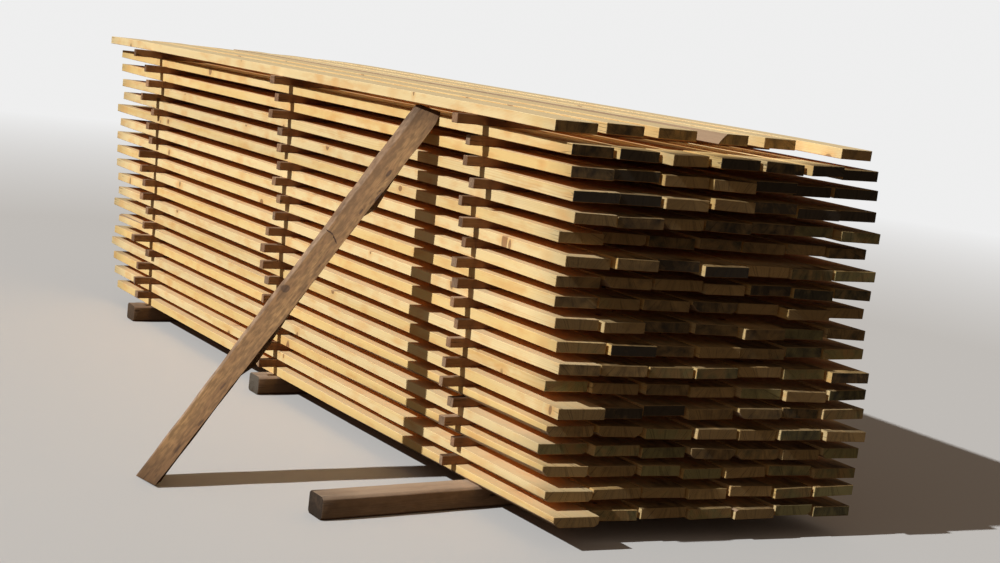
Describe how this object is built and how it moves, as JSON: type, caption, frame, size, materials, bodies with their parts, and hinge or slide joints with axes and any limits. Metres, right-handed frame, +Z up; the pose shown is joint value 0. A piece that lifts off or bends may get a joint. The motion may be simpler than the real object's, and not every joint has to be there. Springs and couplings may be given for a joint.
{
  "type": "stack of lumber",
  "caption": "Tall open stack of sawn softwood boards laid in layers on cross stickers and ground bearers, with a raking prop board against one long side.",
  "frame": {"origin": "middle of the middle bearer's underside, on the ground", "axes": "+X along the boards towards their uneven near end, +Y across the stack away from the prop, +Z up"},
  "size_m": [4.3374, 2.335, 1.395],
  "materials": {
    "sawn_board": "rough sawn",
    "sticker": "weathered",
    "bearer": "weathered",
    "prop": "weathered"
  },
  "bodies": {
    "root": {"bearer_1": "bearer", "bearer_2": "bearer", "bearer_3": "bearer", "boards_layer_01": "sawn_board", "boards_layer_02": "sawn_board", "boards_layer_03": "sawn_board", "boards_layer_04": "sawn_board", "boards_layer_05": "sawn_board", "boards_layer_06": "sawn_board", "boards_layer_07": "sawn_board", "boards_layer_08": "sawn_board", "boards_layer_09": "sawn_board", "boards_layer_10": "sawn_board", "boards_layer_11": "sawn_board", "boards_layer_12": "sawn_board", "boards_layer_13": "sawn_board", "boards_layer_14": "sawn_board", "boards_layer_15": "sawn_board", "boards_layer_16": "sawn_board", "boards_layer_17": "sawn_board", "boards_layer_18": "sawn_board", "boards_layer_19": "sawn_board", "prop": "prop", "stickers_layer_01": "sticker", "stickers_layer_02": "sticker", "stickers_layer_03": "sticker", "stickers_layer_04": "sticker", "stickers_layer_05": "sticker", "stickers_layer_06": "sticker", "stickers_layer_07": "sticker", "stickers_layer_08": "sticker", "stickers_layer_09": "sticker", "stickers_layer_10": "sticker", "stickers_layer_11": "sticker", "stickers_layer_12": "sticker", "stickers_layer_13": "sticker", "stickers_layer_14": "sticker", "stickers_layer_15": "sticker", "stickers_layer_16": "sticker", "stickers_layer_17": "sticker", "stickers_layer_18": "sticker"}
  },
  "joints": []
}
